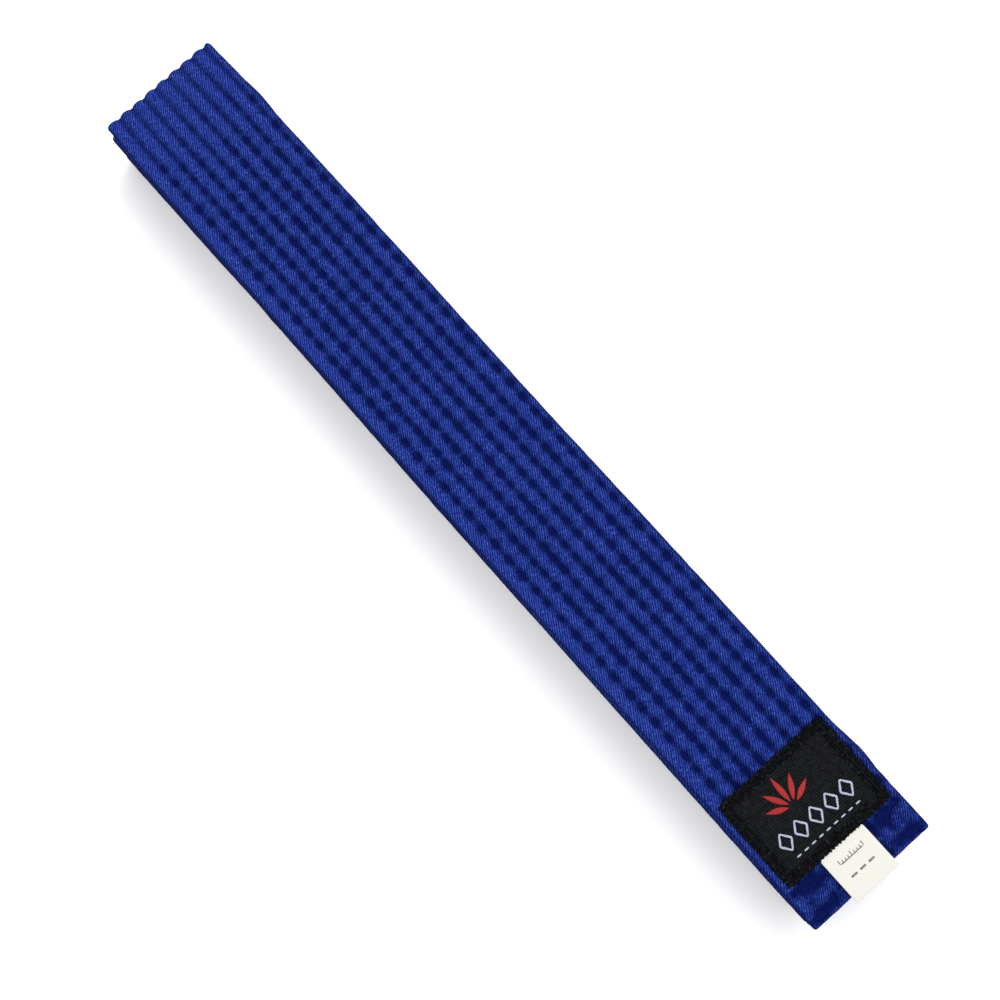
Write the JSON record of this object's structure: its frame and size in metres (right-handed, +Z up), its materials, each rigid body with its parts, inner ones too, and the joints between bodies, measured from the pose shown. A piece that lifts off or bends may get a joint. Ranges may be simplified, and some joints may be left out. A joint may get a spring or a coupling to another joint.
{
  "type": "martial arts belt",
  "caption": "Quilted cotton martial arts belt folded to and fro into a flat bundle, with a woven label and a ribbon size tag sewn at its end.",
  "frame": {"origin": "bottom centre of the folded bundle, on the surface that it lies on", "axes": "+X along the bundle towards the labelled end, +Y across the belt, +Z up out of the label"},
  "size_m": [0.3016, 0.04, 0.0264],
  "materials": {
    "belt_cotton": "royal blue cotton twill, matt",
    "core_wadding": "undyed cotton wadding",
    "sewing_thread": "dark blue polyester sewing thread",
    "label_weave": "black woven damask",
    "label_overlock": "black overlock thread",
    "label_thread": "black sewing thread",
    "red_thread": "red satin-stitched thread",
    "white_thread": "white satin-stitched thread",
    "tag_satin": "warm white satin ribbon",
    "tag_ink": "grey textile ink"
  },
  "bodies": {
    "panel_1": {"cover_1": "belt_cotton", "core_1": "core_wadding", "stitching_1": "sewing_thread", "fold_cover_1": "belt_cotton", "fold_core_1": "core_wadding", "fold_stitching_1": "sewing_thread", "label_end_stitching": "sewing_thread", "label_patch": "label_weave", "label_border": "label_overlock", "label_seam": "label_thread", "label_emblem": "red_thread", "label_pattern": "white_thread"},
    "panel_2": {"cover_2": "belt_cotton", "core_2": "core_wadding", "stitching_2": "sewing_thread", "fold_cover_2": "belt_cotton", "fold_core_2": "core_wadding", "fold_stitching_2": "sewing_thread"},
    "panel_3": {"cover_3": "belt_cotton", "core_3": "core_wadding", "stitching_3": "sewing_thread", "fold_cover_3": "belt_cotton", "fold_core_3": "core_wadding", "fold_stitching_3": "sewing_thread"},
    "panel_4": {"cover_4": "belt_cotton", "core_4": "core_wadding", "stitching_4": "sewing_thread", "fold_cover_4": "belt_cotton", "fold_core_4": "core_wadding", "fold_stitching_4": "sewing_thread"},
    "panel_5": {"cover_5": "belt_cotton", "core_5": "core_wadding", "stitching_5": "sewing_thread", "fold_cover_5": "belt_cotton", "fold_core_5": "core_wadding", "fold_stitching_5": "sewing_thread"},
    "panel_6": {"cover_6": "belt_cotton", "core_6": "core_wadding", "stitching_6": "sewing_thread", "fold_cover_6": "belt_cotton", "fold_core_6": "core_wadding", "fold_stitching_6": "sewing_thread"},
    "panel_7": {"cover_7": "belt_cotton", "core_7": "core_wadding", "stitching_7": "sewing_thread", "fold_cover_7": "belt_cotton", "fold_core_7": "core_wadding", "fold_stitching_7": "sewing_thread"},
    "panel_8": {"cover_8": "belt_cotton", "core_8": "core_wadding", "stitching_8": "sewing_thread", "plain_end_stitching": "sewing_thread"},
    "tag": {"size_tag": "tag_satin", "tag_print": "tag_ink"}
  },
  "joints": [
    {"name": "fold_1", "type": "hinge", "parent": "panel_1", "child": "panel_2", "pos_m": [-0.14888, 0, 0.02225], "axis": [0, 1, 0], "range_deg": [0, 180], "deforming": ["fold_cover_1", "fold_core_1", "fold_stitching_1"]},
    {"name": "fold_2", "type": "hinge", "parent": "panel_2", "child": "panel_3", "pos_m": [0.14952, 0, 0.01905], "axis": [0, -1, 0], "range_deg": [0, 180], "deforming": ["fold_cover_2", "fold_core_2", "fold_stitching_2"]},
    {"name": "fold_3", "type": "hinge", "parent": "panel_3", "child": "panel_4", "pos_m": [-0.14888, 0, 0.01585], "axis": [0, 1, 0], "range_deg": [0, 180], "deforming": ["fold_cover_3", "fold_core_3", "fold_stitching_3"]},
    {"name": "fold_4", "type": "hinge", "parent": "panel_4", "child": "panel_5", "pos_m": [0.14952, 0, 0.01265], "axis": [0, -1, 0], "range_deg": [0, 180], "deforming": ["fold_cover_4", "fold_core_4", "fold_stitching_4"]},
    {"name": "fold_5", "type": "hinge", "parent": "panel_5", "child": "panel_6", "pos_m": [-0.14888, 0, 0.00945], "axis": [0, 1, 0], "range_deg": [0, 180], "deforming": ["fold_cover_5", "fold_core_5", "fold_stitching_5"]},
    {"name": "fold_6", "type": "hinge", "parent": "panel_6", "child": "panel_7", "pos_m": [0.14952, 0, 0.00625], "axis": [0, -1, 0], "range_deg": [0, 180], "deforming": ["fold_cover_6", "fold_core_6", "fold_stitching_6"]},
    {"name": "fold_7", "type": "hinge", "parent": "panel_7", "child": "panel_8", "pos_m": [-0.14888, 0, 0.00305], "axis": [0, 1, 0], "range_deg": [0, 180], "deforming": ["fold_cover_7", "fold_core_7", "fold_stitching_7"]},
    {"name": "tag_flap", "type": "hinge", "parent": "panel_1", "child": "tag", "pos_m": [0.13742, 0, 0.02632], "axis": [0, -1, 0], "range_deg": [0, 150]}
  ]
}
